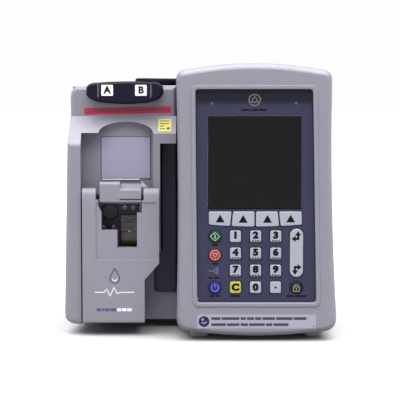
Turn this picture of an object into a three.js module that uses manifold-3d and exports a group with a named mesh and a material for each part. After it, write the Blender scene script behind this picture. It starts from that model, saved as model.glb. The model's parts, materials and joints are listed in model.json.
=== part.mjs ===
// A large-volume infusion pump: display and keypad module on the right, cassette mechanism on the left,
// carrying handle on top, pole clamp at the back.
// Millimetres, +Z up, the pump's front faces -Y. Parts are drawn with y = 0 at the front of the display
// case, y growing towards the back and z = 0 on the surface the feet stand on. The assembly group at the
// end moves the origin to the middle of the footprint.
import * as THREE from "three";
import { mergeVertices } from "three/addons/utils/BufferGeometryUtils.js";
import Module from "manifold-3d";

const wasm = await Module();
wasm.setup();

// ---- Driving dimensions, mm ----

const gap = 0.4; // clearance between neighbouring parts
const wall = 3; // thickness of the moulded shells

const overall = { left: -102.3, right: 101.1, top: 204.3, back: 200 };

// Display module: its sides are slightly waisted, its top and bottom slightly crowned.
const display = {
  left: -17.5,
  leftWaist: -14.9,
  rightTop: 96.7,
  rightWaist: 95.8,
  rightFoot: overall.right,
  shoulder: 199.7,
  crown: overall.top,
  skirt: 6.4,
  belly: 3.1,
  depth: 66,
  edgeSize: 5,
  edgeDepth: 9,
};

// The keypad panel leans a little to the right towards its foot.
const panel = { topLeft: -3, topRight: 81.7, footLeft: -1.6, footRight: 85, top: 184.8, foot: 29.4 };
const panelFront = 2.4;
const panelBack = 5.2;

const screen = { left: 5.8, right: 74, foot: 97.9, top: 165.6 };

const keyTravel = 0.8; // how far every key can be pressed
const keyFront = 1.3; // the key caps stand a little proud of the panel
const keyBack = 7;
const numberKey = { width: 8.2, height: 8.6, corner: 1.4 };
const numberColumns = [26, 40.8, 55.5];
const numberRows = [77.7, 65.1, 52.5, 40];
const roundKeyRadius = 4.6;
const roundKeyX = 11;
const selectKey = { x: 70.8, z: 65.5, width: 9.8, height: 35.8, pivotY: 5 };
// The gaps between the soft keys fan out towards the foot by lean.
const softKeys = {
  edges: [5.9, 23.7, 40.4, 57.4, 75],
  lean: [0, -1.1, 0, 1.1, 0.2],
  top: 96,
  foot: 86.3,
  dip: 1.5,
  between: 1,
};

// Mechanism module.
const mech = {
  leftTop: -98.6,
  leftFoot: overall.left,
  innerLeft: -89.4, // inner side of the left wall
  innerRight: -35.4, // left side of the right-hand column
  columnRight: -30.1,
  right: -18, // its edge beside the display case
  top: 187.6,
  foot: 8.3,
  blockFront: 47, // front of the upper block
  blockFoot: 165,
  wallFront: 26, // front of the left wall
  wallTop: 144,
  columnFront: 34,
  recessTop: 152.5,
  recessBack: 48,
  wellTop: 104, // the opening for the chassis ends here
  sideTop: 144.6, // top of the side panel's space
};
const arch = { left: -76.4, right: mech.innerRight, rise: 8.3 };
const recessPanel = { left: -75.3, right: -37.8, foot: 117.3, top: 148.9 };

// Door and its handle.
const pivot = { y: 28, z: 106.5 }; // axis of the handle on the door
const hinge = { y: 38, z: 17 }; // axis of the door on the housing
const handle = {
  left: -88.1,
  right: -30.6,
  foot: 9.9,
  front: 22,
  back: 31,
  armEnd: 5, // radius of the arms' round ends
  leftArm: -77.9,
  rightArm: -42.1,
};
const door = { left: -86.5, right: -38.2, stepRight: -44.5, foot: 14, top: 102, front: 31.6, back: 42.6 };
const barrel = { left: -75, right: -44, split: -60, front: 24, back: 41 };
const bores = { hinge: 2.2, handleShaft: 2.5 };

const chassis = { left: -85, right: -44.3, foot: 14, top: 103, front: 50, back: 76 };
const plunger = { x: -68.7, z: 91.7, headRadius: 5.7, rodRadius: 4.1 };
const motor = { front: 88, back: 112, radius: 15.5 };
const pinRadius = 1.6;
const valvePins = {
  inlet_valve_pin: [-73.6, 80.2],
  outlet_valve_pin: [-66, 80.2],
  line_a_valve_pin: [-57.6, 95.2],
  line_b_valve_pin: [-51.2, 95.2],
};

// Rear of the pump.
const rear = { left: -98.4, right: 96.4, foot: 9.8, top: 187.5, front: 66.4, back: 152 };
const gripWell = { floor: 165, front: 76, back: 130, rearTop: 186 };
const batteryHatch = { left: 28, right: 86, foot: 22, top: 74 };
const inlet = { left: -84, right: -54, foot: 20, top: 44 };
const volume = { x: -72, z: 148, radius: 8 };

const clamp = {
  z: 106,
  halfHeight: 19,
  screwY: 178,
  jawLeft: 42,
  jawRight: 52,
  bossLeft: -24,
  bossRight: -11,
};

// Middle of each foot and its height: the front pair is under the display case, which hangs lower.
const feet = {
  foot_front_left: { x: -0.3, y: 30, height: 4.5 },
  foot_front_right: { x: 85.5, y: 30, height: 4.5 },
  foot_rear_left: { x: -80, y: 134, height: 6 },
  foot_rear_right: { x: 78, y: 134, height: 6 },
};
const footHalf = { width: 7, length: 9 };

// ---- Finishes ----

const finishes = {
  casePlastic: { color: 0xa5a2b0, roughness: 0.48, metalness: 0 },
  palePlastic: { color: 0xb2b0c2, roughness: 0.42, metalness: 0 },
  navyPlastic: { color: 0x484a64, roughness: 0.4, metalness: 0 },
  blackPlastic: { color: 0x232230, roughness: 0.4, metalness: 0 },
  basePlastic: { color: 0x58566a, roughness: 0.55, metalness: 0 },
  purplePlastic: { color: 0x2c2640, roughness: 0.4, metalness: 0 },
  greyRubber: { color: 0x5a584f, roughness: 0.85, metalness: 0 },
  blackRubber: { color: 0x161616, roughness: 0.7, metalness: 0 },
  keyGrey: { color: 0xb4b6c4, roughness: 0.5, metalness: 0 },
  keyYellow: { color: 0xc9cf3c, roughness: 0.5, metalness: 0 },
  keyGreen: { color: 0x1f5a38, roughness: 0.5, metalness: 0 },
  keyRed: { color: 0x9a2c2a, roughness: 0.5, metalness: 0 },
  keyBlue: { color: 0x2c2c86, roughness: 0.5, metalness: 0 },
  keyBlack: { color: 0x121214, roughness: 0.5, metalness: 0 },
  screenGlass: { color: 0x1c1c1e, roughness: 0.12, metalness: 0 },
  boardGreen: { color: 0x1f5a36, roughness: 0.6, metalness: 0 },
  castAlloy: { color: 0xb6b8ba, roughness: 0.45, metalness: 0.9 },
  steel: { color: 0xc4c6c8, roughness: 0.3, metalness: 1 },
  sensorRed: { color: 0x2a1210, roughness: 0.25, metalness: 0 },
  batteryWrap: { color: 0x2b3f74, roughness: 0.5, metalness: 0 },
};

// ---- Solids from three.js geometry ----

// A closed geometry as a manifold solid, with the triangles that collapsed on an axis left out.
function toSolid(geometry) {
  geometry.deleteAttribute("normal");
  geometry.deleteAttribute("uv");
  const merged = mergeVertices(geometry, 1e-4);
  const index = merged.index.array;
  const kept = [];
  for (let i = 0; i < index.length; i += 3) {
    const [a, b, c] = [index[i], index[i + 1], index[i + 2]];
    if (a !== b && b !== c && c !== a) kept.push(a, b, c);
  }
  const vertProperties = new Float32Array(merged.attributes.position.array);
  return new wasm.Manifold(new wasm.Mesh({ numProp: 3, vertProperties, triVerts: new Uint32Array(kept) }));
}

function toGeometry(solid) {
  const mesh = solid.getMesh();
  const geometry = new THREE.BufferGeometry();
  geometry.setAttribute("position", new THREE.BufferAttribute(mesh.vertProperties, 3));
  geometry.setIndex(new THREE.BufferAttribute(mesh.triVerts, 1));
  return geometry;
}

// Draws the shape's first two coordinates along the axes right and up, and its depth along right x up.
function extruded(shape, depth, edge, right, up) {
  const { size = 0, deep = size, steps = 2, curve = 4 } = edge;
  const geometry = new THREE.ExtrudeGeometry(shape, {
    depth: depth - 2 * deep,
    bevelEnabled: size > 0,
    bevelSize: size,
    bevelOffset: -size,
    bevelThickness: deep,
    bevelSegments: steps,
    curveSegments: curve,
  });
  geometry.translate(0, 0, deep);
  const out = new THREE.Vector3().crossVectors(right, up);
  return geometry.applyMatrix4(new THREE.Matrix4().makeBasis(right, up, out));
}

const alongX = new THREE.Vector3(1, 0, 0);
const alongY = new THREE.Vector3(0, 1, 0);
const alongZ = new THREE.Vector3(0, 0, 1);

// Shape in x and z, as seen from the front, solid from yFront to yBack.
function fromFront(shape, yFront, yBack, edge = {}) {
  return toSolid(extruded(shape, yBack - yFront, edge, alongX, alongZ).translate(0, yBack, 0));
}

// Shape in y and z, as seen from the right, solid from xLeft to xRight.
function fromSide(shape, xLeft, xRight, edge = {}) {
  return toSolid(extruded(shape, xRight - xLeft, edge, alongY, alongZ).translate(xLeft, 0, 0));
}

// Shape in x and y, as seen from above, solid from zLow to zHigh.
function fromAbove(shape, zLow, zHigh, edge = {}) {
  return toSolid(extruded(shape, zHigh - zLow, edge, alongX, alongY).translate(0, 0, zLow));
}

// A closed outline through [a, b, rounding] corners, anticlockwise.
function outline(corners) {
  const points = corners.map(([a, b]) => new THREE.Vector2(a, b));
  const shape = new THREE.Shape();
  points.forEach((here, i) => {
    const rounding = corners[i][2] ?? 0;
    const before = points.at(i - 1);
    const after = points[(i + 1) % points.length];
    const arrive = here.clone().add(before.clone().sub(here).setLength(rounding));
    const leave = here.clone().add(after.clone().sub(here).setLength(rounding));
    if (i === 0) shape.moveTo(arrive.x, arrive.y);
    else shape.lineTo(arrive.x, arrive.y);
    if (rounding > 0) shape.quadraticCurveTo(here.x, here.y, leave.x, leave.y);
  });
  shape.closePath();
  return shape;
}

function rectangle(left, right, low, high, corner = 0) {
  return outline([
    [left, low, corner],
    [right, low, corner],
    [right, high, corner],
    [left, high, corner],
  ]);
}

function disc(a, b, radius) {
  const shape = new THREE.Shape();
  shape.absarc(a, b, radius, 0, 2 * Math.PI);
  return shape;
}

const roundEdge = { curve: 10 }; // 20-sided circles
const block = (x0, x1, y0, y1, z0, z1) => fromFront(rectangle(x0, x1, z0, z1), y0, y1);
const rodAlongX = (y, z, radius, x0, x1) => fromSide(disc(y, z, radius), x0, x1, roundEdge);
const rodAlongY = (x, z, radius, y0, y1) => fromFront(disc(x, z, radius), y0, y1, roundEdge);

const joined = (first, ...others) => others.reduce((all, one) => all.add(one), first);
const cut = (first, ...others) => others.reduce((rest, one) => rest.subtract(one), first);

const assembly = new THREE.Group();

function addPart(name, finish, solid) {
  const mesh = new THREE.Mesh(toGeometry(solid), new THREE.MeshStandardMaterial(finishes[finish]));
  mesh.name = name;
  assembly.add(mesh);
}

// ---- Display module ----

// Outline of the display case, moved inwards by inset.
function caseOutline(inset) {
  const left = display.left + inset;
  const rightTop = display.rightTop - inset;
  const rightFoot = display.rightFoot - inset;
  const shoulder = display.shoulder - inset;
  const skirt = display.skirt + inset;
  const middle = (left + rightTop) / 2;
  const topCorner = 8 - inset / 2;
  const footCorner = 11 - inset / 2;
  const shape = new THREE.Shape();
  shape.moveTo(left + footCorner, skirt);
  shape.quadraticCurveTo(middle, 2 * (display.belly + inset) - skirt, rightFoot - footCorner, skirt);
  shape.quadraticCurveTo(rightFoot, skirt, rightFoot, skirt + footCorner);
  const waistHeight = (skirt + shoulder) / 2;
  shape.quadraticCurveTo(display.rightWaist - inset, waistHeight, rightTop, shoulder - topCorner);
  shape.quadraticCurveTo(rightTop, shoulder, rightTop - topCorner, shoulder);
  shape.quadraticCurveTo(middle, 2 * (display.crown - inset) - shoulder, left + topCorner, shoulder);
  shape.quadraticCurveTo(left, shoulder, left, shoulder - topCorner);
  shape.quadraticCurveTo(display.leftWaist + inset, waistHeight, left, skirt + footCorner);
  shape.quadraticCurveTo(left, skirt, left + footCorner, skirt);
  return shape;
}

function panelOutline(grow) {
  return outline([
    [panel.footLeft - grow, panel.foot - grow, 3],
    [panel.footRight + grow, panel.foot - grow, 3],
    [panel.topRight + grow, panel.top + grow, 3],
    [panel.topLeft - grow, panel.top + grow, 3],
  ]);
}

function displayCase() {
  const edge = { size: display.edgeSize, deep: display.edgeDepth, steps: 4, curve: 8 };
  const body = fromFront(caseOutline(0), 0, display.depth, edge);
  const cavity = fromFront(caseOutline(wall + 1), wall + 1, display.depth - wall);
  const panelWindow = fromFront(panelOutline(gap), -1, wall + 2);
  const rearOpening = fromFront(rectangle(-8, 88, 18, 155, 6), display.depth - wall - 1, display.depth + 1);
  return cut(body, cavity, panelWindow, rearOpening);
}

// One soft key: its foot follows the shallow arc shared by all four.
function softKeyOutline(number, grow) {
  const { edges, lean, top, foot, dip, between } = softKeys;
  const left = edges[number - 1] + between / 2 - grow;
  const right = edges[number] - between / 2 + grow;
  const footLeft = left + lean[number - 1];
  const footRight = right + lean[number];
  const span = edges.at(-1) - edges[0];
  const arcFoot = (x) => foot - dip * (1 - ((2 * (x - edges[0])) / span - 1) ** 2) - grow;
  const corner = 1.2;
  return outline([
    [footLeft, arcFoot(footLeft), corner],
    [(footLeft + footRight) / 2, arcFoot((footLeft + footRight) / 2)],
    [footRight, arcFoot(footRight), corner],
    [right, top + grow, corner],
    [left, top + grow, corner],
  ]);
}

function numberKeyOutline(x, z, grow) {
  const halfWidth = numberKey.width / 2 + grow;
  const halfHeight = numberKey.height / 2 + grow;
  return rectangle(x - halfWidth, x + halfWidth, z - halfHeight, z + halfHeight, numberKey.corner);
}

function selectOutline(grow) {
  const radius = selectKey.width / 2 + grow;
  const straight = (selectKey.height - selectKey.width) / 2;
  const shape = new THREE.Shape();
  shape.absarc(selectKey.x, selectKey.z + straight, radius, 0, Math.PI);
  shape.absarc(selectKey.x, selectKey.z - straight, radius, Math.PI, 2 * Math.PI);
  shape.closePath();
  return shape;
}

const [columnOne, columnTwo, columnThree] = numberColumns;
const [rowOne, rowTwo, rowThree, rowFour] = numberRows;

// Every key: name, finish and its outline grown by a clearance.
const keys = [
  ...[1, 2, 3, 4].map((n) => [`soft_key_${n}`, "keyGrey", (grow) => softKeyOutline(n, grow)]),
  ...[1, 2, 3, 4, 5, 6, 7, 8, 9].map((n) => {
    const x = numberColumns[(n - 1) % 3];
    const z = numberRows[Math.floor((n - 1) / 3)];
    return [`key_${n}`, "keyGrey", (grow) => numberKeyOutline(x, z, grow)];
  }),
  ["key_clear", "keyYellow", (grow) => numberKeyOutline(columnOne, rowFour, grow)],
  ["key_0", "keyGrey", (grow) => numberKeyOutline(columnTwo, rowFour, grow)],
  ["key_point", "keyGrey", (grow) => numberKeyOutline(columnThree, rowFour, grow)],
  ["start_key", "keyGreen", (grow) => disc(roundKeyX, rowOne, roundKeyRadius + grow)],
  ["stop_key", "keyRed", (grow) => disc(roundKeyX, rowTwo - 1.2, roundKeyRadius + grow)],
  ["power_key", "keyBlue", (grow) => disc(roundKeyX, rowFour, roundKeyRadius + grow)],
  ["lock_key", "keyBlack", (grow) => disc(selectKey.x, rowFour, roundKeyRadius + grow)],
  ["select_rocker", "keyGrey", selectOutline],
];

function keypadPanel() {
  const plate = fromFront(panelOutline(0), panelFront, panelBack);
  const glassHole = rectangle(screen.left - gap, screen.right + gap, screen.foot - gap, screen.top + gap, 1);
  const holes = keys.map(([, , shape]) => (
    fromFront(shape(gap), panelFront - 1, panelBack + 1, { curve: 6 })
  ));
  return cut(plate, fromFront(glassHole, panelFront - 1, panelBack + 1), ...holes);
}

function addDisplayModule() {
  addPart("display_case", "casePlastic", displayCase());
  addPart("keypad_panel", "navyPlastic", keypadPanel());
  const glass = rectangle(screen.left, screen.right, screen.foot, screen.top, 0.8);
  addPart("screen_glass", "screenGlass", fromFront(glass, panelFront + 0.3, panelBack - 0.6));
  addPart("lcd_module", "castAlloy", block(2, 78, panelBack + 1, 14, screen.foot + 1, screen.top + 4));
  addPart("keypad_board", "boardGreen", block(1, 80, keyBack + 2, keyBack + 3.6, 31, 94));
  for (const [name, finish, shape] of keys) {
    const isRound = !/^(soft_)?key_/.test(name);
    addPart(name, finish, fromFront(shape(0), keyFront, keyBack, { size: 0.6, curve: isRound ? 9 : 3 }));
  }
  addPart("speaker", "blackPlastic", joined(
    rodAlongY(70, 172, 11, 50, 58),
    rodAlongY(70, 172, 6, 44, 50.1),
  ));
}

// ---- Mechanism module ----

function mechanismHousing() {
  const profile = outline([
    [mech.wallFront, mech.foot, 4],
    [display.depth, mech.foot],
    [display.depth, mech.top, 2],
    [mech.blockFront, mech.top, 3],
    [mech.blockFront, mech.blockFoot, 2],
    [mech.wallFront, mech.wallTop, 2],
  ]);
  const face = outline([
    [mech.leftFoot, mech.foot, 9],
    [mech.right, mech.foot],
    [mech.right, mech.top],
    [mech.leftTop, mech.top, 8],
    [mech.leftTop, mech.blockFoot, 6],
    [mech.leftTop - 0.9, mech.wallTop, 6],
  ]);
  const edge = { size: 2.5, deep: 4, steps: 2 };
  const farLeft = overall.left - 8;
  const lower = fromFront(face, mech.wallFront, display.depth + 8, edge)
    .intersect(block(farLeft, 0, 20, 80, 0, mech.blockFoot));
  const upper = fromFront(face, mech.blockFront, display.depth + 8, edge)
    .intersect(block(farLeft, 0, 40, 80, mech.blockFoot - 6, overall.top));
  const body = joined(lower, upper).intersect(fromSide(profile, farLeft, mech.right));
  const archMiddle = (arch.left + arch.right) / 2;
  const archShape = new THREE.Shape();
  archShape.moveTo(arch.left, mech.recessTop - 10);
  archShape.lineTo(arch.right, mech.recessTop - 10);
  archShape.lineTo(arch.right, mech.recessTop);
  archShape.absellipse(archMiddle, mech.recessTop, (arch.right - arch.left) / 2, arch.rise, 0, Math.PI);
  archShape.closePath();
  const sideSpaceBack = display.depth + 1;
  const seat = { left: recessPanel.left - gap, right: recessPanel.right + gap };
  return cut(
    body,
    block(mech.innerLeft, 0, 0, mech.columnFront, -10, 200),
    block(mech.innerLeft, mech.innerRight, 20, mech.recessBack, mech.foot + wall, mech.recessTop),
    block(mech.innerLeft, mech.innerRight, 20, sideSpaceBack, mech.foot + wall, mech.wellTop),
    block(mech.columnRight, 0, 20, sideSpaceBack, 0, mech.sideTop),
    block(door.stepRight, 0, 20, sideSpaceBack, 0, 62),
    fromFront(archShape, 20, mech.recessBack, { curve: 8 }),
    block(seat.left, seat.right, 47, 50.4, recessPanel.foot - gap, recessPanel.top + gap),
    block(-95, mech.right - wall, 53.5, sideSpaceBack, mech.wellTop + wall, mech.top - wall),
    block(-96.5, mech.innerLeft - wall, 30, sideSpaceBack, 14, 138),
    rodAlongX(hinge.y, hinge.z, bores.hinge, mech.innerLeft - wall + 0.5, mech.innerLeft + 1),
  );
}

function sidePanel() {
  const shape = outline([
    [-35.4, 28.5, 3],
    [-18.3, 28.5],
    [-18.3, mech.sideTop - gap],
    [mech.columnRight + gap, mech.sideTop - gap],
    [mech.columnRight + gap, 61.4],
    [-35.4, 61.4],
  ]);
  return fromFront(shape, 58.4, 61.2, { size: 0.5, steps: 1 });
}

function baseTray() {
  const upstand = block(-43.8, -18.3, 61.6, 64.4, 6.4, 61.4);
  const bridge = block(-43.8, -18.3, 61.6, 72, 6.4, 9.2);
  const pan = fromAbove(rectangle(rear.left + 2, rear.right - 2, 67, 150, 6), 6.4, 9.2);
  return joined(pan, bridge, upstand);
}

// Concave panel at the back of the recess, hollowed by a wide cylinder.
function recessInsert() {
  const { left, right, foot, top } = recessPanel;
  const plate = block(left, right, 47.2, 50, foot, top);
  const hollow = toSolid(new THREE.CylinderGeometry(160, 160, 60, 96).rotateX(Math.PI / 2)
    .translate((left + right) / 2, -112.4, (foot + top) / 2));
  return plate.subtract(hollow);
}

// Outline of the handle from the front, with the notch between its arms that widens into the window.
function handleOutline() {
  return outline([
    [handle.left, handle.foot, 1.5],
    [-41.5, handle.foot, 1.5],
    [-41.5, 42.7],
    [handle.right, 55.2],
    [handle.right, pivot.z + handle.armEnd],
    [handle.rightArm, pivot.z + handle.armEnd],
    [handle.rightArm, 102.3],
    [-43.4, 102.3],
    [-43.4, 93.1],
    [-47.1, 93.1],
    [-47.1, 66.9],
    [-61.9, 66.9],
    [-61.9, 80],
    [-73.7, 80],
    [-73.7, 93.5],
    [-76.1, 98.8],
    [-76.1, 102.3],
    [handle.leftArm, 103],
    [handle.leftArm, pivot.z + handle.armEnd],
    [handle.left, pivot.z + handle.armEnd],
  ]);
}

function doorHandle() {
  const plate = fromFront(handleOutline(), handle.front, handle.back);
  const { armEnd } = handle;
  // Seen from the side the arms end in a half circle about the pivot.
  const sideShape = outline([
    [handle.front, handle.foot, 2],
    [handle.back, handle.foot, 1],
    [handle.back, pivot.z - 8, 4],
    [pivot.y + armEnd, pivot.z - 3, 2],
    [pivot.y + armEnd, pivot.z + armEnd, armEnd],
    [pivot.y - armEnd, pivot.z + armEnd, armEnd],
    [handle.front, pivot.z - 6, 3],
  ]);
  const shaftHole = rodAlongX(pivot.y, pivot.z, bores.handleShaft, handle.left - 1, handle.right + 1);
  const sunkenFace = block(handle.leftArm, handle.right - 2, 20, handle.front + 0.8, 58.3, 101);
  return cut(plate.intersect(fromSide(sideShape, -95, -25)), shaftHole, sunkenFace);
}

function cassetteDoor() {
  const face = outline([
    [door.left, door.foot, 1],
    [door.stepRight, door.foot, 1],
    [door.stepRight, 46],
    [door.right, 52],
    [door.right, door.top, 1],
    [door.left, door.top, 1],
  ]);
  const slab = fromFront(face, door.front, door.back);
  const windowHole = fromFront(rectangle(-75.5, -45.5, 64, 99.5), door.front - 1, door.back + 1);
  // The slab's lower front edge is cut back, so that it clears the housing's floor as the door tilts.
  const toeRelief = fromSide(outline([
    [door.front - 1, door.foot - 1],
    [door.front + 3.2, door.foot - 1],
    [door.front - 1, door.foot + 4.2],
  ]), door.left - 1, door.right);
  const hingeKnuckle = rodAlongX(hinge.y, hinge.z, 4, door.left, door.stepRight);
  const leftDrum = fromSide(outline([
    [barrel.front, 101.8],
    [barrel.back, 101.8],
    [barrel.back, 108],
    [37, 116.1, 5],
    [barrel.front, 116.1, 2.5],
  ]), barrel.left, barrel.split);
  const rightDrum = fromSide(outline([
    [barrel.front, 103, 1],
    [barrel.back, 103],
    [barrel.back, 111],
    [35, 115, 3],
    [barrel.front, 110.6, 1.5],
  ]), barrel.split - 0.1, barrel.right);
  const neck = block(barrel.left, barrel.right, 31, 41, door.top - 2, 104);
  const lip = block(barrel.left, barrel.right, barrel.front - 0.6, 33.5, 101.4, 102.5);
  const pocket = block(-80, -48, door.back - 4, door.back + 1, 24, 60);
  return cut(
    joined(slab.subtract(toeRelief), hingeKnuckle, neck, leftDrum, rightDrum, lip),
    windowHole,
    pocket,
    rodAlongX(hinge.y, hinge.z, bores.hinge, door.left - 1, door.right),
    rodAlongX(pivot.y, pivot.z, bores.handleShaft, handle.left, handle.right),
  );
}

function addMechanismFront() {
  addPart("mechanism_housing", "casePlastic", mechanismHousing());
  addPart("recess_panel", "palePlastic", recessInsert());
  addPart("side_panel", "blackPlastic", sidePanel());
  addPart("base_tray", "basePlastic", baseTray());
  addPart("cassette_door", "casePlastic", cassetteDoor());
  addPart("door_handle", "casePlastic", doorHandle());
  const pin = rodAlongX(hinge.y, hinge.z, 1.8, mech.innerLeft - 2, door.stepRight - 0.5);
  addPart("door_hinge_pin", "steel", pin);
  const shaft = rodAlongX(pivot.y, pivot.z, 2.1, handle.left + 0.5, handle.right - 0.5);
  addPart("handle_shaft", "blackPlastic", shaft);
}

// ---- Pumping mechanism ----

function mechanismChassis() {
  const { left, right, foot, top, front, back } = chassis;
  const airWindow = block(-61.4, -47.4, front - 1, front + 10, 65.6, 89.6);
  const pins = Object.values(valvePins).map(([x, z]) => rodAlongY(x, z, pinRadius + gap, front - 1, back));
  return cut(
    block(left, right, front, back, foot, top),
    block(left + wall, right - wall, front + 12, back + 1, foot + wall, top - wall),
    rodAlongY(plunger.x, plunger.z, plunger.headRadius + 0.6, front - 1, front + 5),
    rodAlongY(plunger.x, plunger.z, plunger.rodRadius + 0.5, front - 1, back),
    airWindow,
    ...pins,
  );
}

function addPumpingMechanism() {
  const { x, z, headRadius, rodRadius } = plunger;
  addPart("mechanism_chassis", "blackPlastic", mechanismChassis());
  addPart("air_sensor", "sensorRed", joined(
    block(-61, -47.8, 48.6, 58, 66, 89.2),
    block(-61, -47.8, 47.6, 49, 84, 86),
    block(-61, -47.8, 47.6, 49, 76.5, 78.5),
  ));
  addPart("plunger", "blackRubber", cut(
    joined(rodAlongY(x, z, headRadius, 49, 51.5), rodAlongY(x, z, rodRadius, 51, 84)),
    rodAlongY(x, z, 2.5, 60, 85),
  ));
  addPart("plunger_screw", "steel", joined(
    rodAlongY(x, z, 2.1, 66, 118),
    rodAlongY(x, z, 10, motor.front + 4, motor.back - 4),
  ));
  addPart("plunger_motor", "castAlloy", cut(
    rodAlongY(x, z, motor.radius, motor.front, motor.back),
    rodAlongY(x, z, 10.6, motor.front + 3, motor.back - 3),
    rodAlongY(x, z, 2.8, motor.front - 1, motor.back + 1),
  ));
  for (const [name, [pinX, pinZ]] of Object.entries(valvePins)) {
    addPart(name, "steel", rodAlongY(pinX, pinZ, pinRadius, 48.4, 82));
  }
}

// ---- Carrying handle ----

// The front bar bows down in the middle; from its right end an arm runs back across the grip well.
function carryHandle() {
  const bar = new THREE.Shape();
  bar.moveTo(-85.7, 186);
  bar.lineTo(-85.7, 181);
  bar.quadraticCurveTo(-83, 176.5, -74, 175.2);
  bar.quadraticCurveTo(-56.5, 173, -39, 175.2);
  bar.quadraticCurveTo(-30, 176.5, -27.8, 182);
  bar.lineTo(-27.8, 186.5);
  bar.quadraticCurveTo(-29, 190, -34, 190.8);
  bar.quadraticCurveTo(-56.5, 192, -80, 190.2);
  bar.quadraticCurveTo(-85, 189.5, -85.7, 186);
  const frontBar = fromFront(bar, 36, mech.blockFront - gap, { size: 1.6, deep: 2.5, steps: 2 });
  const armPath = new THREE.CatmullRomCurve3([
    new THREE.Vector3(-44, 42, 190.9),
    new THREE.Vector3(-31, 56, 190.9),
    new THREE.Vector3(-14, 78, 190.9),
    new THREE.Vector3(4, 104, 190.9),
    new THREE.Vector3(16, 130, 190.9),
    new THREE.Vector3(20, 148, 190.4),
  ]);
  const section = rectangle(-2.7, 2.7, -7, 7, 2);
  const arm = toSolid(new THREE.ExtrudeGeometry(section, {
    extrudePath: armPath,
    steps: 16,
    curveSegments: 2,
    bevelEnabled: false,
  }));
  const rearFoot = fromFront(rectangle(11, 29, gripWell.rearTop + gap, 192, 2), 134, 150);
  return joined(frontBar, arm, rearFoot);
}

// ---- Rear of the pump ----

// Side profile of the rear housing, moved inwards by inset: the grip well dips between front and back.
function rearProfile(inset) {
  const floor = gripWell.floor - inset;
  return outline([
    [rear.front - 3 * inset, rear.foot - 3 * inset],
    [rear.back - inset, rear.foot - 3 * inset, 4],
    [rear.back - inset, gripWell.rearTop - inset, 5],
    [gripWell.back + 7 + inset, gripWell.rearTop - inset, 2],
    [gripWell.back + inset, floor, 5],
    [gripWell.front - inset, floor, 5],
    [rear.front + 4 - inset, rear.top - inset, 1],
    [rear.front - 3 * inset, rear.top - inset],
  ]);
}

function rearHousing() {
  const plan = (inset) => rectangle(rear.left + inset, rear.right - inset, 30, rear.back - inset, 14);
  const body = fromSide(rearProfile(0), rear.left, rear.right)
    .intersect(fromAbove(plan(0), 0, 200, { curve: 6 }));
  const cavity = fromSide(rearProfile(wall), rear.left + wall, rear.right - wall)
    .intersect(fromAbove(plan(wall), -10, 200, { curve: 6 }));
  const { left, right, foot, top } = batteryHatch;
  const hatchSeat = rectangle(left - gap, right + gap, foot - gap, top + gap, 3);
  const backSkin = rear.back - wall - 2; // cuts from here to the face go right through the back wall
  const backFace = rear.back + 1;
  return cut(
    body,
    cavity,
    fromFront(hatchSeat, rear.back - 2.4, backFace),
    block(left + 3, right - 3, backSkin, backFace, foot + 3, top - 3),
    block(inlet.left - gap, inlet.right + gap, backSkin, backFace, inlet.foot - gap, inlet.top + gap),
    rodAlongY(volume.x, volume.z, 3.4, backSkin, backFace),
  );
}

function mainsInlet() {
  const middleX = (inlet.left + inlet.right) / 2;
  const middleZ = (inlet.foot + inlet.top) / 2;
  const body = block(inlet.left, inlet.right, 128, rear.back + 1, inlet.foot, inlet.top);
  const socket = fromFront(outline([
    [middleX - 12, middleZ - 8],
    [middleX + 12, middleZ - 8],
    [middleX + 12, middleZ + 4],
    [middleX + 8, middleZ + 8],
    [middleX - 8, middleZ + 8],
    [middleX - 12, middleZ + 4],
  ]), 136, rear.back + 2);
  const blade = (x, z) => block(x - 1, x + 1, 134, 146, z - 2, z + 2);
  return joined(
    body.subtract(socket),
    blade(middleX - 7, middleZ - 2),
    blade(middleX + 7, middleZ - 2),
    blade(middleX, middleZ + 2),
  );
}

function addRear() {
  addPart("rear_housing", "casePlastic", rearHousing());
  const { left, right, foot, top } = batteryHatch;
  const hatchPlan = rectangle(left, right, foot, top, 3);
  const hatch = fromFront(hatchPlan, rear.back - 2, rear.back, { size: 0.6, steps: 1 });
  addPart("battery_door", "casePlastic", hatch);
  addPart("battery_pack", "batteryWrap", block(left + 4, right - 4, 108, rear.back - 3, foot + 4, top - 4));
  addPart("main_board", "boardGreen", block(-40, 88, 84, 85.6, 24, 150));
  addPart("power_supply", "castAlloy", block(-86, -48, 122, 146, 54, 118));
  addPart("power_inlet", "blackPlastic", mainsInlet());
  addPart("volume_knob", "blackPlastic", joined(
    rodAlongY(volume.x, volume.z, volume.radius, rear.back + gap, rear.back + 9),
    rodAlongY(volume.x, volume.z, 3, rear.back - 12, rear.back + 1),
    block(volume.x - 0.8, volume.x + 0.8, rear.back + 8.5, rear.back + 9.8, volume.z, volume.z + 7),
  ));
  addPart("carry_handle", "purplePlastic", carryHandle());
}

// ---- Pole clamp ----

function clampFrame() {
  const { z, halfHeight, jawLeft, jawRight, bossLeft, bossRight, screwY } = clamp;
  const plan = outline([
    [bossLeft, rear.back + gap, 2],
    [jawRight, rear.back + gap, 2],
    [jawRight, overall.back, 4],
    [jawLeft - 3, overall.back, 2],
    [jawLeft - 3, screwY + 10],
    [jawLeft + 3, screwY],
    [jawLeft - 3, screwY - 10],
    [jawLeft - 3, rear.back + 8, 6],
    [bossRight, rear.back + 8, 4],
    [bossRight, screwY + 12, 5],
    [bossLeft, screwY + 12, 5],
  ]);
  const frame = fromAbove(plan, z - halfHeight, z + halfHeight, { size: 1.2, steps: 1 });
  return frame.subtract(rodAlongX(screwY, z, 4.5, bossLeft - 1, bossRight + 1));
}

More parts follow.
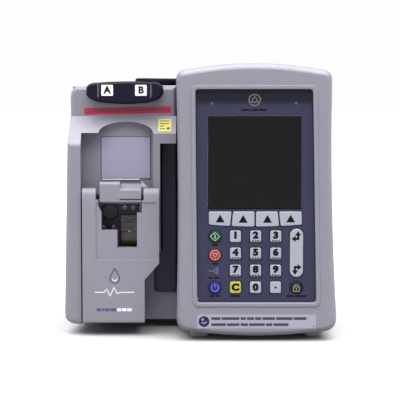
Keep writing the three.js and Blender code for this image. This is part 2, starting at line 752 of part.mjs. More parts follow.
function clampKnob() {
  const { z, screwY } = clamp;
  const lobes = new THREE.Shape();
  const lobeCount = 5;
  const steps = 60;
  for (let i = 0; i < steps; i += 1) {
    const angle = (2 * Math.PI * i) / steps;
    const radius = 15 + 1.8 * Math.cos(lobeCount * angle);
    const point = [screwY + radius * Math.cos(angle), z + radius * Math.sin(angle)];
    if (i === 0) lobes.moveTo(...point);
    else lobes.lineTo(...point);
  }
  lobes.closePath();
  const knob = fromSide(lobes, -66, -52, { size: 1.5, steps: 2 });
  return knob.subtract(rodAlongX(screwY, z, 3.4, -60, -50));
}

function addPoleClamp() {
  const { z, screwY } = clamp;
  addPart("clamp_frame", "castAlloy", clampFrame());
  addPart("clamp_screw", "steel", joined(
    rodAlongX(screwY, z, 3, -59.6, -50),
    rodAlongX(screwY, z, 4, -51.6, -7.6),
    rodAlongX(screwY, z, 2.6, -8, -3.6),
  ));
  addPart("clamp_knob", "blackPlastic", clampKnob());
  addPart("clamp_pad", "blackRubber", cut(
    rodAlongX(screwY, z, 10, -7, 0),
    rodAlongX(screwY, z, 3, -8, -3.2),
  ));
}

function addFeet() {
  const { width, length } = footHalf;
  for (const [name, { x, y, height }] of Object.entries(feet)) {
    const plan = rectangle(x - width, x + width, y - length, y + length, 4);
    addPart(name, "greyRubber", fromAbove(plan, 0, height, { size: 0.6, steps: 1 }));
  }
}

addDisplayModule();
addMechanismFront();
addPumpingMechanism();
addRear();
addPoleClamp();
addFeet();

assembly.position.set(-(overall.left + overall.right) / 2, -overall.back / 2, 0);

export default assembly;
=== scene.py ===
import json
import math

import bmesh
import bpy
from mathutils import Matrix, Vector


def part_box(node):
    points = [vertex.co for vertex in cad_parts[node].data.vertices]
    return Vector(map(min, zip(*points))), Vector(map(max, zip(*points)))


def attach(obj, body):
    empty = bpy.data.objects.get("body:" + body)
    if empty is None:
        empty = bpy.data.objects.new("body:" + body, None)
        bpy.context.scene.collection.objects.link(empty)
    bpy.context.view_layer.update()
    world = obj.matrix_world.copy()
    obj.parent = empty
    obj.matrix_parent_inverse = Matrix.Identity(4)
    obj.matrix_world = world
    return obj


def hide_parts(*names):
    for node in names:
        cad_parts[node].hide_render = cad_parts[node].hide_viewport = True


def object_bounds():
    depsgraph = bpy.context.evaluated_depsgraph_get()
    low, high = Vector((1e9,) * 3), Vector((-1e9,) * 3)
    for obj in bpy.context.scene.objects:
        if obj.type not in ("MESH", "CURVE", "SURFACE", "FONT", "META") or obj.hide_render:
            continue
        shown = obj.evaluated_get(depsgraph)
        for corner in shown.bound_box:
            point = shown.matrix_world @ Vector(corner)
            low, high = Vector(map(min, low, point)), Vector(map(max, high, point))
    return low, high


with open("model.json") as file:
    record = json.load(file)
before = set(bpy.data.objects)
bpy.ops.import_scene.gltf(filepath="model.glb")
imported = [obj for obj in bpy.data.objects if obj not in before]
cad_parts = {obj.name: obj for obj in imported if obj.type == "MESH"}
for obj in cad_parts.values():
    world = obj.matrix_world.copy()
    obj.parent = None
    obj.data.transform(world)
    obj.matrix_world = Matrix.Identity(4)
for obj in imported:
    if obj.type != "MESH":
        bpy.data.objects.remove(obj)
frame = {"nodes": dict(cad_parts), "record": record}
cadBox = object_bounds()
mm = 0.001
scene = bpy.context.scene
nodes = frame["nodes"]
bodyOf = {n: b for b, members in frame["record"]["behaviour"]["bodies"].items() for n in members}
slotOf = {s["node"]: s["material_slot"] for s in frame["record"]["subparts"]}
caseLow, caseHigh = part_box("display_case")
panelLow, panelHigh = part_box("keypad_panel")
print("frame loaded:", len(nodes), "nodes")


# ---- small tools ----

def middle(node):
    low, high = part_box(node)
    return (low + high) / 2


def facingFront(x, y, z, lean=90):  # stands a drawing made flat on XY up, to face -Y at that point
    return Matrix.Translation((x, y, z)) @ Matrix.Rotation(math.radians(lean), 4, "X")


def facingBack(x, y, z):
    return (Matrix.Translation((x, y, z)) @ Matrix.Rotation(math.pi, 4, "Z")
            @ Matrix.Rotation(math.pi / 2, 4, "X"))


def addPiece(bm, name, mat, body, stands=(), smoothAngle=38):
    mesh = bpy.data.meshes.new(name)
    bm.to_mesh(mesh)
    bm.free()
    mesh.materials.append(mat)
    mesh.shade_smooth()
    mesh.set_sharp_from_angle(angle=math.radians(smoothAngle))
    piece = bpy.data.objects.new(name, mesh)
    scene.collection.objects.link(piece)
    piece.modifiers.new("evenShading", "WEIGHTED_NORMAL").keep_sharp = True
    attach(piece, body)
    if stands:
        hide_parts(*stands)
    return piece


def bevelEdges(bm, edges, width, segments):
    bmesh.ops.bevel(bm, geom=edges, offset=width, offset_type="OFFSET", affect="EDGES",
                    segments=segments, profile=0.5, material=-1, clamp_overlap=True)


def sharpEdges(bm, degrees):
    limit = math.radians(degrees)
    return [e for e in bm.edges if e.is_manifold and e.calc_face_angle(0) > limit]


def welded(node):  # a copy of a CAD node's mesh, its loose triangles merged into flat faces
    bm = bmesh.new()
    bm.from_mesh(nodes[node].data)
    bmesh.ops.remove_doubles(bm, verts=bm.verts, dist=2e-6)
    bmesh.ops.dissolve_limit(bm, angle_limit=math.radians(0.5), verts=bm.verts, edges=bm.edges)
    return bm


# ---- materials ----

def newMaterial(name):
    mat = bpy.data.materials.new(name)
    mat.use_nodes = True
    return mat, mat.node_tree, mat.node_tree.nodes["Principled BSDF"]


def noiseAt(tree, scale, detail=2, stretch=(1, 1, 1)):  # noise on Object coordinates, scale per metre
    coords = tree.nodes.new("ShaderNodeTexCoord")
    mapping = tree.nodes.new("ShaderNodeMapping")
    mapping.inputs["Scale"].default_value = stretch
    noise = tree.nodes.new("ShaderNodeTexNoise")
    noise.inputs["Scale"].default_value = scale
    noise.inputs["Detail"].default_value = detail
    tree.links.new(coords.outputs["Object"], mapping.inputs["Vector"])
    tree.links.new(mapping.outputs["Vector"], noise.inputs["Vector"])
    return noise.outputs["Fac"]


def rampOf(tree, factor, low, high, colors):
    ramp = tree.nodes.new("ShaderNodeValToRGB")
    ramp.color_ramp.elements[0].position = low
    ramp.color_ramp.elements[1].position = high
    ramp.color_ramp.elements[0].color = (*colors[0], 1)
    ramp.color_ramp.elements[1].color = (*colors[1], 1)
    tree.links.new(factor, ramp.inputs["Fac"])
    return ramp.outputs["Color"]


def spreadOf(tree, factor, low, high):
    spread = tree.nodes.new("ShaderNodeMapRange")
    spread.inputs["From Min"].default_value = 0.3
    spread.inputs["From Max"].default_value = 0.7
    spread.inputs["To Min"].default_value = low
    spread.inputs["To Max"].default_value = high
    tree.links.new(factor, spread.inputs["Value"])
    return spread.outputs["Result"]


def darker(color, share):
    return tuple(c * (1 - share) for c in color)


def grainedMaterial(name, look):
    mat, tree, shader = newMaterial(name)
    broad = noiseAt(tree, look.get("cloud", 22), 3)
    color = rampOf(tree, broad, 0.35, 0.65, (darker(look["color"], look.get("drift", 0.06)), look["color"]))
    if "speck" in look:  # fine flecks in the moulded colour
        flecks = noiseAt(tree, 2600, 1)
        mask = rampOf(tree, flecks, 0.66, 0.72, ((0, 0, 0), (1, 1, 1)))
        mix = tree.nodes.new("ShaderNodeMix")
        mix.data_type = "RGBA"
        tree.links.new(mask, mix.inputs["Factor"])
        tree.links.new(color, mix.inputs["A"])
        mix.inputs["B"].default_value = (*look["speck"], 1)
        color = mix.outputs["Result"]
    tree.links.new(color, shader.inputs["Base Color"])
    rough = look["rough"]
    tree.links.new(spreadOf(tree, noiseAt(tree, 70, 4), rough - 0.05, rough + 0.07),
                   shader.inputs["Roughness"])
    bump = tree.nodes.new("ShaderNodeBump")
    bump.inputs["Strength"].default_value = look.get("bump", 0.12)
    bump.inputs["Distance"].default_value = look.get("depth", 0.00005)
    tree.links.new(noiseAt(tree, look.get("grain", 1500), 2, look.get("stretch", (1, 1, 1))),
                   bump.inputs["Height"])
    tree.links.new(bump.outputs["Normal"], shader.inputs["Normal"])
    shader.inputs["Metallic"].default_value = look.get("metal", 0)
    shader.inputs["Coat Weight"].default_value = look.get("coat", 0)
    shader.inputs["Coat Roughness"].default_value = 0.12
    shader.inputs["Specular IOR Level"].default_value = look.get("specular", 0.5)
    if "glow" in look:
        shader.inputs["Emission Color"].default_value = (*look["glow"], 1)
        shader.inputs["Emission Strength"].default_value = look["glowStrength"]
    return mat


finishes = {
    "case_plastic": {"color": (0.118, 0.114, 0.139), "rough": 0.45, "drift": 0.05, "grain": 1700,
                     "bump": 0.16, "specular": 0.35},
    "pale_plastic": {"color": (0.158, 0.155, 0.22), "rough": 0.30, "drift": 0.04, "grain": 900,
                     "bump": 0.05},
    "navy_panel": {"color": (0.011, 0.011, 0.033), "rough": 0.42, "drift": 0.10, "grain": 1300, "bump": 0.2,
                   "specular": 0.26},
    "black_plastic": {"color": (0.0095, 0.0075, 0.027), "rough": 0.4, "drift": 0.15, "grain": 1100,
                      "bump": 0.12, "specular": 0.25},
    "base_plastic": {"color": (0.135, 0.128, 0.172), "rough": 0.5, "drift": 0.08, "grain": 1400,
                     "bump": 0.25},
    "purple_plastic": {"color": (0.0035, 0.002, 0.010), "rough": 0.45, "drift": 0.12, "grain": 1500,
                       "bump": 0.15, "specular": 0.10},
    "grey_rubber": {"color": (0.26, 0.26, 0.25), "rough": 0.8, "drift": 0.15, "grain": 1800, "bump": 0.4},
    "black_rubber": {"color": (0.012, 0.012, 0.013), "rough": 0.6, "drift": 0.2, "grain": 1500,
                     "bump": 0.3},
    "key_grey": {"color": (0.165, 0.168, 0.20), "rough": 0.5, "drift": 0.05, "grain": 2200, "bump": 0.2},
    "key_yellow": {"color": (0.215, 0.195, 0.010), "rough": 0.5, "drift": 0.06, "grain": 2200, "bump": 0.2},
    "key_green": {"color": (0.003, 0.018, 0.008), "rough": 0.5, "specular": 0.15, "drift": 0.1,
                  "grain": 2200, "bump": 0.2},
    "key_red": {"color": (0.13, 0.012, 0.012), "rough": 0.5, "specular": 0.15, "drift": 0.1, "grain": 2200,
                "bump": 0.2},
    "key_blue": {"color": (0.008, 0.008, 0.085), "rough": 0.5, "specular": 0.15, "drift": 0.1,
                 "grain": 2200, "bump": 0.2},
    "key_black": {"color": (0.005, 0.005, 0.005), "rough": 0.5, "specular": 0.15, "drift": 0.15,
                  "grain": 2200, "bump": 0.2},
    "screen_glass": {"color": (0.0025, 0.0025, 0.0025), "rough": 0.2, "drift": 0.03, "grain": 300,
                     "bump": 0.01, "specular": 0.10},
    "circuit_board": {"color": (0.012, 0.10, 0.035), "rough": 0.45, "drift": 0.3, "grain": 900, "bump": 0.2,
                      "speck": (0.45, 0.36, 0.12)},
    "cast_alloy": {"color": (0.48, 0.485, 0.50), "rough": 0.42, "drift": 0.1, "grain": 1000, "bump": 0.25,
                   "metal": 0.9},
    "steel": {"color": (0.40, 0.40, 0.42), "rough": 0.24, "drift": 0.1, "grain": 600, "bump": 0.15,
              "metal": 1, "stretch": (1, 6, 1)},
    "sensor_window": {"color": (0.03, 0.010, 0.007), "rough": 0.2, "drift": 0.3, "grain": 500,
                      "bump": 0.05},
    "battery_wrap": {"color": (0.03, 0.06, 0.2), "rough": 0.4, "drift": 0.1, "grain": 500, "bump": 0.1},
}
inks = {
    "inkBlack": {"color": (0.003, 0.003, 0.004), "rough": 0.6, "grain": 2500, "bump": 0.05,
                 "specular": 0.05},
    "inkWhite": {"color": (0.36, 0.36, 0.385), "rough": 0.5, "grain": 2500, "bump": 0.05},
    "inkOlive": {"color": (0.22, 0.22, 0.19), "rough": 0.5, "grain": 2500, "bump": 0.05},
    "inkDusk": {"color": (0.028, 0.028, 0.055), "rough": 0.5, "grain": 2500, "bump": 0.05},
    "inkBand": {"color": (0.0035, 0.0035, 0.009), "rough": 0.42, "grain": 1300, "bump": 0.1,
                "specular": 0.15},
    "inkBandFaint": {"color": (0.0105, 0.0105, 0.027), "rough": 0.42, "grain": 1300, "bump": 0.1,
                     "specular": 0.23},
    "inkBandSoft": {"color": (0.006, 0.006, 0.017), "rough": 0.42, "grain": 1300, "bump": 0.1,
                    "specular": 0.2},
    "inkNight": {"color": (0.03, 0.03, 0.09), "rough": 0.2, "grain": 2500, "bump": 0.05},
    "inkNavy": {"color": (0.006, 0.006, 0.034), "rough": 0.5, "specular": 0.15, "grain": 2500,
                "bump": 0.05},
    "inkSlate": {"color": (0.018, 0.018, 0.028), "rough": 0.5, "grain": 2500, "bump": 0.05,
                 "specular": 0.3},
    "inkMaroon": {"color": (0.07, 0.004, 0.016), "rough": 0.5, "grain": 2500, "bump": 0.05},
    "inkViolet": {"color": (0.10, 0.08, 0.13), "rough": 0.4, "grain": 2500, "bump": 0.05},
    "inkPaleGrey": {"color": (0.42, 0.42, 0.46), "rough": 0.5, "grain": 2500, "bump": 0.05},
    "inkPale": {"color": (0.085, 0.09, 0.13), "rough": 0.5, "grain": 2500, "bump": 0.05},
    "inkLime": {"color": (0.22, 0.34, 0.25), "rough": 0.5, "specular": 0.3, "grain": 2500, "bump": 0.05},
    "inkCoral": {"color": (0.31, 0.17, 0.165), "rough": 0.5, "specular": 0.3, "grain": 2500, "bump": 0.05},
    "inkSky": {"color": (0.12, 0.13, 0.33), "rough": 0.5, "specular": 0.3, "grain": 2500, "bump": 0.05},
    "inkPurple": {"color": (0.03, 0.018, 0.085), "rough": 0.5, "grain": 2500, "bump": 0.05},
    "paperPink": {"color": (0.26, 0.006, 0.036), "rough": 0.45, "specular": 0.25, "grain": 700,
                  "bump": 0.08},
    "paperYellow": {"color": (0.33, 0.29, 0.016), "rough": 0.5, "grain": 700, "bump": 0.08},
    "paperWhite": {"color": (0.44, 0.43, 0.46), "rough": 0.55, "grain": 700, "bump": 0.08},
    "paperLilac": {"color": (0.165, 0.16, 0.20), "rough": 0.5, "grain": 700, "bump": 0.06},
    "emblemSilver": {"color": (0.085, 0.08, 0.078), "rough": 0.4, "grain": 900, "bump": 0.1, "metal": 0.3},
}
slotMaterial = {name: grainedMaterial(name, look) for name, look in finishes.items()}
ink = {name: grainedMaterial(name, look) for name, look in inks.items()}
for name, cadPart in nodes.items():
    cadPart.data.materials.clear()
    cadPart.data.materials.append(slotMaterial[slotOf[name]])
print("materials made:", len(slotMaterial) + len(ink))


# ---- drawings: flat shapes in millimetres on XY, printed on a face ----

def drawDisc(bm, x, y, radius):
    bmesh.ops.create_circle(bm, cap_ends=True, segments=28, radius=radius * mm,
                            matrix=Matrix.Translation((x * mm, y * mm, 0)))


def drawRing(bm, x, y, radius, width, start=0, sweep=360):
    inner = bm.verts.new((radius - width / 2, 0, 0))
    outer = bm.verts.new((radius + width / 2, 0, 0))
    edge = bm.edges.new((inner, outer))
    turn = Matrix.Rotation(math.radians(start), 4, "Z")
    bmesh.ops.transform(bm, matrix=Matrix.Translation((x * mm, y * mm, 0)) @ turn @ Matrix.Scale(mm, 4),
                        verts=[inner, outer])
    bmesh.ops.spin(bm, geom=[inner, outer, edge], cent=(x * mm, y * mm, 0), axis=(0, 0, 1),
                   angle=math.radians(sweep), steps=max(4, int(sweep / 10)), use_merge=sweep == 360)


def drawShape(bm, points):
    bm.faces.new([bm.verts.new((x * mm, y * mm, 0)) for x, y in points])


def drawBar(bm, x0, y0, x1, y1, width):
    along = Vector((x1 - x0, y1 - y0)).normalized() * width / 2
    side = Vector((-along.y, along.x))
    start, end = Vector((x0, y0)), Vector((x1, y1))
    drawShape(bm, [start + side, start - side, end - side, end + side])


def drawPath(bm, points, width):
    for here, after in zip(points, points[1:]):
        drawBar(bm, *here, *after, width)


def drawLoop(bm, points, width):
    drawPath(bm, points + points[:1], width)


def drawWords(bm, x, y, height, lengths, space=0.9):  # a line of print, as plain bars the length of words
    for length in lengths:
        drawBar(bm, x, y, x + length, y, height)
        x += length + space


def drawArrow(bm, x, y, angle, length, width, head):
    turn = Matrix.Rotation(math.radians(angle), 2)
    shaft, barb = length - head, head * 0.72
    points = [(0, -width / 2), (shaft, -width / 2), (shaft, -barb), (length, 0), (shaft, barb),
              (shaft, width / 2), (0, width / 2)]
    drawShape(bm, [turn @ Vector(p) + Vector((x, y)) for p in points])


def drawText(bm, text, size, bold=0.0):  # bold thickens the strokes, in sevenths of the size
    fontSize = 7.0
    curve = bpy.data.curves.new("lettering", "FONT")
    curve.body = text
    curve.size = fontSize
    curve.offset = bold
    curve.align_x = "CENTER"
    curve.align_y = "CENTER"
    curve.resolution_u = 6
    words = bpy.data.objects.new("lettering", curve)
    scene.collection.objects.link(words)
    bpy.context.view_layer.update()
    flat = bpy.data.meshes.new_from_object(words.evaluated_get(bpy.context.evaluated_depsgraph_get()))
    bm.from_mesh(flat)
    bpy.data.objects.remove(words)
    bpy.data.curves.remove(curve)
    bpy.data.meshes.remove(flat)
    bmesh.ops.scale(bm, vec=Vector((1, 1, 1)) * size / fontSize * mm, verts=bm.verts)
    bmesh.ops.remove_doubles(bm, verts=bm.verts, dist=1e-7)


def raiseDrawing(bm, height):
    bmesh.ops.recalc_face_normals(bm, faces=bm.faces)
    down = [f for f in bm.faces if f.normal.z < 0]
    bmesh.ops.reverse_faces(bm, faces=down)
    raised = bmesh.ops.extrude_face_region(bm, geom=bm.faces[:], use_keep_orig=True)["geom"]
    tops = [v for v in raised if isinstance(v, bmesh.types.BMVert)]
    bmesh.ops.translate(bm, vec=(0, 0, height * mm), verts=tops)
    bmesh.ops.recalc_face_normals(bm, faces=bm.faces)


def addPrint(bm, name, inkName, place, body, height=0.05):
    raiseDrawing(bm, height)
    bmesh.ops.transform(bm, matrix=place, verts=bm.verts)
    return addPiece(bm, name, ink[inkName], body)


def roundedPlate(width, depth, corner, segments=5):  # flat on XY, metres
    bm = bmesh.new()
    bmesh.ops.create_grid(bm, x_segments=1, y_segments=1, size=0.5)
    bmesh.ops.scale(bm, vec=(width, depth, 1), verts=bm.verts)
    if corner:
        bmesh.ops.bevel(bm, geom=bm.verts[:], offset=corner, offset_type="OFFSET", affect="VERTICES",
                        segments=segments, profile=0.5, material=-1, clamp_overlap=True)
    return bm


def raisedFrame(bm, wall, height, softness):  # turns a flat plate into a frame with a soft ridge
    inner = bmesh.ops.inset_region(bm, faces=bm.faces[:], thickness=wall, use_boundary=True,
                                   use_even_offset=True)
    ring = set(inner["faces"])
    bmesh.ops.delete(bm, geom=[f for f in bm.faces if f not in ring], context="FACES")
    raised = bmesh.ops.extrude_face_region(bm, geom=bm.faces[:], use_keep_orig=True)["geom"]
    tops = [v for v in raised if isinstance(v, bmesh.types.BMVert)]
    bmesh.ops.translate(bm, vec=(0, 0, height), verts=tops)
    bmesh.ops.recalc_face_normals(bm, faces=bm.faces)
    topEdges = [e for e in bm.edges if all(v in set(tops) for v in e.verts) and e.calc_face_angle(0) > 0.8]
    bevelEdges(bm, topEdges, softness, 4)


# ---- shells: each CAD shape with its edges rounded as a moulded part's are ----

softShells = {
    "display_case": {"width": 0.35, "segments": 2, "angle": 50},
    "mechanism_housing": {"width": 1.1, "segments": 3, "angle": 28},
    "rear_housing": {"width": 0.9, "segments": 3, "angle": 30},
    "cassette_door": {"width": 0.6, "segments": 3, "angle": 30},
    "door_handle": {"width": 0.9, "segments": 3, "angle": 28},
    "side_panel": {"width": 0.4, "segments": 2, "angle": 30},
    "base_tray": {"width": 0.6, "segments": 2, "angle": 30},
    "recess_panel": {"width": 0.35, "segments": 2, "angle": 30},
    "carry_handle": {"width": 0.5, "segments": 2, "angle": 30},
    "battery_door": {"width": 0.4, "segments": 2, "angle": 30},
    "power_inlet": {"width": 0.4, "segments": 2, "angle": 30},
    "volume_knob": {"width": 0.5, "segments": 2, "angle": 40},
    "clamp_frame": {"width": 0.8, "segments": 2, "angle": 30},
    "clamp_knob": {"width": 0.6, "segments": 2, "angle": 40},
    "clamp_pad": {"width": 0.6, "segments": 2, "angle": 40},
    "mechanism_chassis": {"width": 0.3, "segments": 2, "angle": 40},
    "air_sensor": {"width": 0.25, "segments": 2, "angle": 40},
    "plunger": {"width": 0.5, "segments": 2, "angle": 40},
    "foot_front_left": {"width": 0.5, "segments": 2, "angle": 40},
    "foot_front_right": {"width": 0.5, "segments": 2, "angle": 40},
    "foot_rear_left": {"width": 0.5, "segments": 2, "angle": 40},
    "foot_rear_right": {"width": 0.5, "segments": 2, "angle": 40},
    "keypad_panel": {"width": 0.12, "segments": 2, "angle": 40},
    "screen_glass": {"width": 0.2, "segments": 2, "angle": 40},
}


def roundedShell(node, look):
    bm = welded(node)
    bevelEdges(bm, sharpEdges(bm, look["angle"]), look["width"] * mm, look["segments"])
    slotName = slotOf[node]
    return addPiece(bm, node + "_shell", slotMaterial[slotName], bodyOf[node], (node,))


for name, look in softShells.items():
    roundedShell(name, look)
print("shells rounded:", len(softShells))


# ---- display module: panel rim, key caps and prints ----

panelLook = {"leanLeft": 1.4, "leanRight": 3.3, "beadWidth": 3.2, "beadHeight": 0.85, "beadSoft": 0.7,
             "grooveOut": 4.3, "grooveWidth": 0.3, "corner": 4.5}


def panelFrame(grow, wall, height, softness, name, mat):  # a frame that follows the leaning panel
    width = panelHigh.x - panelLow.x + 2 * grow * mm
    depth = panelHigh.z - panelLow.z + 2 * grow * mm
    bm = roundedPlate(width, depth, panelLook["corner"] * mm)
    for v in bm.verts:  # the sides lean a little to the right towards the foot
        share = 0.5 + v.co.y / depth
        lean = panelLook["leanLeft"] * (1 - share) if v.co.x < 0 else -panelLook["leanRight"] * share
        v.co.x += lean * mm
    raisedFrame(bm, wall * mm, height * mm, softness * mm)
    centre = (panelLow + panelHigh) / 2
    bmesh.ops.transform(bm, matrix=facingFront(centre.x, caseLow.y, centre.z), verts=bm.verts)
    addPiece(bm, name, mat, "pump")


look = panelLook
panelFrame(look["beadWidth"] + 0.4, look["beadWidth"], look["beadHeight"], look["beadSoft"], "panel_bead",
           slotMaterial["case_plastic"])
# painted shade: a thin flat ring of another plastic stands for the shade line of a groove round the panel; no
# groove is cut
panelFrame(look["grooveOut"], look["grooveWidth"], 0.06, 0.02, "panel_groove_painted_shade", slotMaterial["base_plastic"])

roundKeys = ("start_key", "stop_key", "power_key", "lock_key")
keyRimLook = {"gap": 0.55, "wall": 0.5, "height": 0.3, "corner": 1.7, "soft": 0.14}


def keyRim(node):  # the panel is embossed round each key
    low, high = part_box(node)
    grow = 2 * (keyRimLook["gap"] + keyRimLook["wall"]) * mm
    width, depth = high.x - low.x + grow, high.z - low.z + grow
    isRound = node in roundKeys or node == "select_rocker"
    corner = width / 2 * 0.999 if isRound else keyRimLook["corner"] * mm
    bm = roundedPlate(width, depth, corner, 10 if isRound else 4)
    bmesh.ops.remove_doubles(bm, verts=bm.verts, dist=1e-6)
    raisedFrame(bm, keyRimLook["wall"] * mm, keyRimLook["height"] * mm, keyRimLook["soft"] * mm)
    centre = middle(node)
    bmesh.ops.transform(bm, matrix=facingFront(centre.x, panelLow.y, centre.z), verts=bm.verts)
    addPiece(bm, node + "_rim", slotMaterial["navy_panel"], "pump")


numberKeys = ["key_%d" % n for n in range(10)] + ["key_clear", "key_point"]
for node in numberKeys + list(roundKeys) + ["select_rocker"]:
    keyRim(node)
for node in numberKeys + list(roundKeys) + ["select_rocker"] + ["soft_key_%d" % n for n in range(1, 5)]:
    roundedShell(node, {"width": 0.35, "segments": 3, "angle": 25})
print("keys capped and rimmed")


def onKey(node):
    low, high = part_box(node)
    centre = (low + high) / 2
    return facingFront(centre.x, low.y + 0.01 * mm, centre.z)


def printKey(node, bm, inkName, tag="mark"):
    addPrint(bm, node + "_" + tag, inkName, onKey(node), bodyOf[node])


legendLook = {"digit": 6.7, "bold": 0.52, "wide": 1.12, "lift": 0.8, "captionDrop": -3.25}


def digitLegend(node, text, lift, captions):
    bm = bmesh.new()
    drawText(bm, text, legendLook["digit"], legendLook["bold"])
    bmesh.ops.scale(bm, vec=(legendLook["wide"], 1, 1), verts=bm.verts)
    bmesh.ops.translate(bm, vec=(0, lift * mm, 0), verts=bm.verts)
    if captions:
        drawWords(bm, -2.8, legendLook["captionDrop"], 0.85, [1.4, 1.4, 1.4], 0.7)
    printKey(node, bm, "inkBlack")


for n in range(1, 10):
    digitLegend("key_%d" % n, str(n), legendLook["lift"], n > 1)
digitLegend("key_0", "0", 0, False)
digitLegend("key_clear", "C", 0, False)
bm = bmesh.new()
drawDisc(bm, 0, 0, 0.85)
printKey("key_point", bm, "inkBlack")

for n in range(1, 5):
    bm = bmesh.new()
    drawShape(bm, [(-3.3, -2.6), (3.3, -2.6), (0, 3.1)])
    printKey("soft_key_%d" % n, bm, "inkBlack")

bm = bmesh.new()
drawLoop(bm, [(3.5, 0), (0, 3.2), (-3.5, 0), (0, -3.2)], 0.36)
drawBar(bm, 0, -1.6, 0, 1.6, 0.6)
printKey("start_key", bm, "inkLime")
bm = bmesh.new()
drawRing(bm, 0, 0, 3.4, 0.4)
drawLoop(bm, [(-2.0, 1.3), (2.0, 1.3), (0, -2.0)], 0.4)
printKey("stop_key", bm, "inkCoral")
bm = bmesh.new()
drawRing(bm, 0, -0.2, 2.6, 0.45, 120, 300)
drawBar(bm, 0, 0, 0, 3.3, 0.45)
printKey("power_key", bm, "inkSky")
bm = bmesh.new()
drawLoop(bm, [(-2.2, -2.9), (2.2, -2.9), (2.2, 0.5), (-2.2, 0.5)], 0.3)
drawRing(bm, 0, 0.6, 1.6, 0.32, 0, 180)
drawBar(bm, 0, -2.1, 0, -0.4, 0.45)
printKey("lock_key", bm, "inkOlive")
arrowLook = {"up": 14.2, "width": 1.6, "head": 3.1}
for sign in (1, -1):
    bm = bmesh.new()
    drawArrow(bm, sign * 1.1, sign * (arrowLook["up"] - 4.6), 90 * sign, 6.4, arrowLook["width"],
              arrowLook["head"])
    drawArrow(bm, sign * 1.9, sign * (arrowLook["up"] - 3.8), 90 + 90 * sign, 5.7, arrowLook["width"],
              arrowLook["head"])
    printKey("select_rocker", bm, "inkBlack", "arrowsUp" if sign > 0 else "arrowsDown")


def onPanel(x, z):
    return facingFront(x, panelLow.y + 0.01 * mm, z)


def panelPrint(name, bm, inkName, x, z):
    addPrint(bm, name, inkName, onPanel(x, z), "pump")


captionDrop = 6.5 * mm
for node, words in {"start_key": [4.6], "stop_key": [4.2], "power_key": [3.0, 3.0], "key_clear": [7.2],
                    "lock_key": [5.8, 8.2]}.items():
    bm = bmesh.new()
    drawWords(bm, -(sum(words) + 0.9 * (len(words) - 1)) / 2, 0, 1.25, words)
    centre = middle(node)
    panelPrint(node + "_caption", bm, "inkBlack", centre.x, centre.z - captionDrop)

mains = {"x": middle("start_key").x - 0.8 * mm,
         "z": (middle("key_7").z + middle("power_key").z) / 2 + 5.9 * mm}
bm = bmesh.new()
drawLoop(bm, [(-0.4, 0), (2.2, 2.4), (2.2, -2.4)], 0.35)
drawBar(bm, 3.0, -2.6, 3.0, 2.6, 0.35)
drawBar(bm, -4.0, 0, -0.4, 0, 0.35)
panelPrint("mains_symbol", bm, "inkPale", mains["x"], mains["z"])
bm = bmesh.new()
drawWords(bm, -4, 0, 1.25, [3.2, 3.8])
panelPrint("mains_caption", bm, "inkBlack", mains["x"], mains["z"] - 5.1 * mm)

bandLook = {"inkBand": 8.6, "inkBandSoft": 10.4, "inkBandFaint": 12.2}


def panelSpan(z):  # left and right edge of the panel at a height, from the panel's middle, in millimetres
    half = (panelHigh.x - panelLow.x) / mm / 2 - 0.3
    share = (z - panelLow.z) / (panelHigh.z - panelLow.z)
    return -half + panelLook["leanLeft"] * (1 - share), half - panelLook["leanRight"] * share


def panelBand(name, inkName, lowZ, highZ, height):  # the overlay is darker along its top
    bm = bmesh.new()
    middleZ = (lowZ + highZ) / 2
    lowLeft, lowRight = panelSpan(lowZ)
    topLeft, topRight = panelSpan(highZ)
    foot, top = (lowZ - middleZ) / mm, (highZ - middleZ) / mm
    drawShape(bm, [(lowLeft, foot), (lowRight, foot), (topRight, top), (topLeft, top)])
    place = facingFront((panelLow.x + panelHigh.x) / 2, panelLow.y + 0.01 * mm, middleZ)
    addPrint(bm, name, inkName, place, "pump", height)


bandTop = panelHigh.z - 0.4 * mm
for inkName, below in bandLook.items():
    bandFoot = panelHigh.z - below * mm
    panelBand("panel_" + inkName, inkName, bandFoot, bandTop, 0.03)
    bandTop = bandFoot

emblemLook = {"below": 7.4, "radius": 4.1}
emblemX = (panelLow.x + panelHigh.x) / 2 - 1.2 * mm
emblemZ = panelHigh.z - emblemLook["below"] * mm
bm = bmesh.new()
drawRing(bm, 0, 0, emblemLook["radius"], 0.8)
drawRing(bm, 0, 0, 1.7, 0.7)
for angle in (90, 210, 330):
    turn = math.radians(angle)
    drawBar(bm, 1.6 * math.cos(turn), 1.6 * math.sin(turn), 4.2 * math.cos(turn), 4.2 * math.sin(turn), 0.7)
addPrint(bm, "emblem", "emblemSilver", facingFront(emblemX, panelLow.y - 0.03 * mm, emblemZ), "pump")
bm = bmesh.new()
drawWords(bm, -9.6, 0, 1.3, [5.2, 1.2, 4.2, 5.6], 0.7)
addPrint(bm, "emblem_caption", "inkBlack", facingFront(emblemX, panelLow.y - 0.03 * mm, emblemZ - 7.1 * mm),
         "pump")
for side, x in (("left", panelLow.x + 11.8 * mm), ("right", panelHigh.x - 15 * mm)):
    bm = bmesh.new()
    drawDisc(bm, 0, 0, 1.0)
    addPrint(bm, "lamp_" + side, "inkNight", facingFront(x, panelLow.y - 0.03 * mm, emblemZ - 2.4 * mm),
             "pump")

